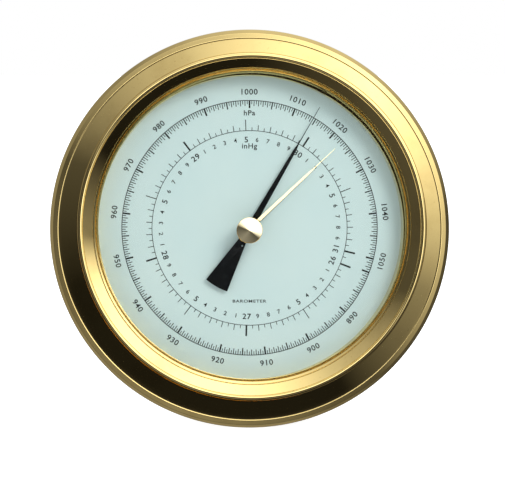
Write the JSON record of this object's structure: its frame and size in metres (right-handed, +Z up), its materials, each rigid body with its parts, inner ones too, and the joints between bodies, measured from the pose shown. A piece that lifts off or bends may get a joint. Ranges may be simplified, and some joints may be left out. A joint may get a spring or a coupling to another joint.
{
  "type": "aneroid barometer",
  "caption": "Round brass wall barometer: capsules, rocking shaft, sector and pinion drive a pointer over a two-scale dial; settable marker hand.",
  "frame": {"origin": "centre of the case's flat back, on the pointer arbor's axis, where it lies against the wall", "axes": "+Z up the dial towards 12 o'clock, +Y into the wall, so the dial faces -Y; +X to the viewer's right"},
  "size_m": [0.17, 0.0534, 0.17],
  "materials": {
    "polished_brass": "polished and lacquered, fine turning marks",
    "drum_brass": "spun brass, satin",
    "movement_brass": "plain milled brass",
    "steel": "turned steel",
    "spring_steel": "blued spring steel",
    "bimetal": "brass and steel strip",
    "capsule_metal": "thin beryllium-copper diaphragms, tinned",
    "glass": "clear flat glass",
    "gasket_rubber": "matt black rubber",
    "dial_enamel": "pale blue-green matt lacquer on aluminium, black print",
    "black_lacquer": "black satin lacquer",
    "bright_brass": "bright turned brass"
  },
  "bodies": {
    "case": {"bezel_ring": "polished_brass", "glass_ring": "polished_brass", "case_drum": "drum_brass", "rear_flange": "drum_brass", "dial_ledge": "drum_brass", "back_plate": "drum_brass", "back_screws": "steel", "glass_pane": "glass", "glass_gasket": "gasket_rubber", "spacer_ring": "polished_brass", "dial_plate": "dial_enamel", "dial_feet": "steel", "knob_bush": "bright_brass", "bush_nut": "bright_brass", "base_plate": "movement_brass", "base_spacers": "movement_brass", "base_screws": "steel", "front_plate": "movement_brass", "pillars": "movement_brass", "pillar_screws": "steel", "arbor_bearings": "bright_brass", "sector_bearings": "bright_brass", "sector_stops": "steel", "hairspring": "spring_steel", "hairspring_stud": "bright_brass", "rocker_brackets": "movement_brass", "bracket_screws": "steel", "pivot_screws": "steel", "capsule_stack": "capsule_metal", "capsule_foot": "bright_brass", "spring_blade": "spring_steel", "blade_block": "movement_brass", "blade_screws": "steel"},
    "pointer": {"pointer": "black_lacquer", "pointer_boss": "bright_brass", "pinion_arbor": "steel", "hairspring_collet": "bright_brass"},
    "sector": {"sector_gear": "movement_brass", "link_pin": "steel", "sector_arbor": "steel"},
    "link": {"link": "steel"},
    "rocker": {"rocking_shaft": "steel", "bimetal_arm": "bimetal", "drive_arm": "movement_brass"},
    "capsule_stud": {"capsule_stud": "bright_brass"},
    "set_hand": {"set_hand": "bright_brass", "set_knob": "bright_brass", "friction_washer": "spring_steel"},
    "adjuster": {"adjusting_screw": "steel"}
  },
  "joints": [
    {"name": "pointer_turn", "type": "hinge", "parent": "case", "child": "pointer", "pos_m": [0, -0.02, 0], "axis": [0, 1, 0], "range_deg": [-279.6, 74], "stiffness_Nm_per_rad": 0.001, "deforming": ["hairspring"]},
    {"name": "sector_turn", "type": "hinge", "parent": "case", "child": "sector", "pos_m": [0, -0.0136, -0.0408], "axis": [0, 1, 0], "range_deg": [-4.7, 17.6]},
    {"name": "link_swing", "type": "hinge", "parent": "sector", "child": "link", "pos_m": [0.00078, -0.015, -0.04776], "axis": [0, 1, 0], "range_deg": [-17.6, 4.7]},
    {"name": "rocker_turn", "type": "hinge", "parent": "case", "child": "rocker", "pos_m": [-0.022, -0.024, -0.029], "axis": [0, 0, -1], "range_deg": [-12.3, 3.3]},
    {"name": "capsule_travel", "type": "slide", "parent": "case", "child": "capsule_stud", "axis": [0, 1, 0], "range_m": [-0.00216, 0.00058], "deforming": ["capsule_stack"]},
    {"name": "set_hand_turn", "type": "hinge", "parent": "case", "child": "set_hand", "pos_m": [0, -0.045, 0], "axis": [0, 1, 0], "continuous": true},
    {"name": "adjusting_screw_turn", "type": "hinge", "parent": "case", "child": "adjuster", "pos_m": [-0.032, -0.005, -0.026], "axis": [0, 1, 0], "range_deg": [-360, 360]}
  ],
  "couplings": [
    {"joint": "sector_turn", "follows": "pointer_turn", "ratio": -0.0625},
    {"joint": "link_swing", "follows": "pointer_turn", "ratio": 0.0625},
    {"joint": "rocker_turn", "follows": "pointer_turn", "ratio": 0.043656},
    {"joint": "capsule_travel", "follows": "pointer_turn", "m_per_rad": 0.000438}
  ]
}
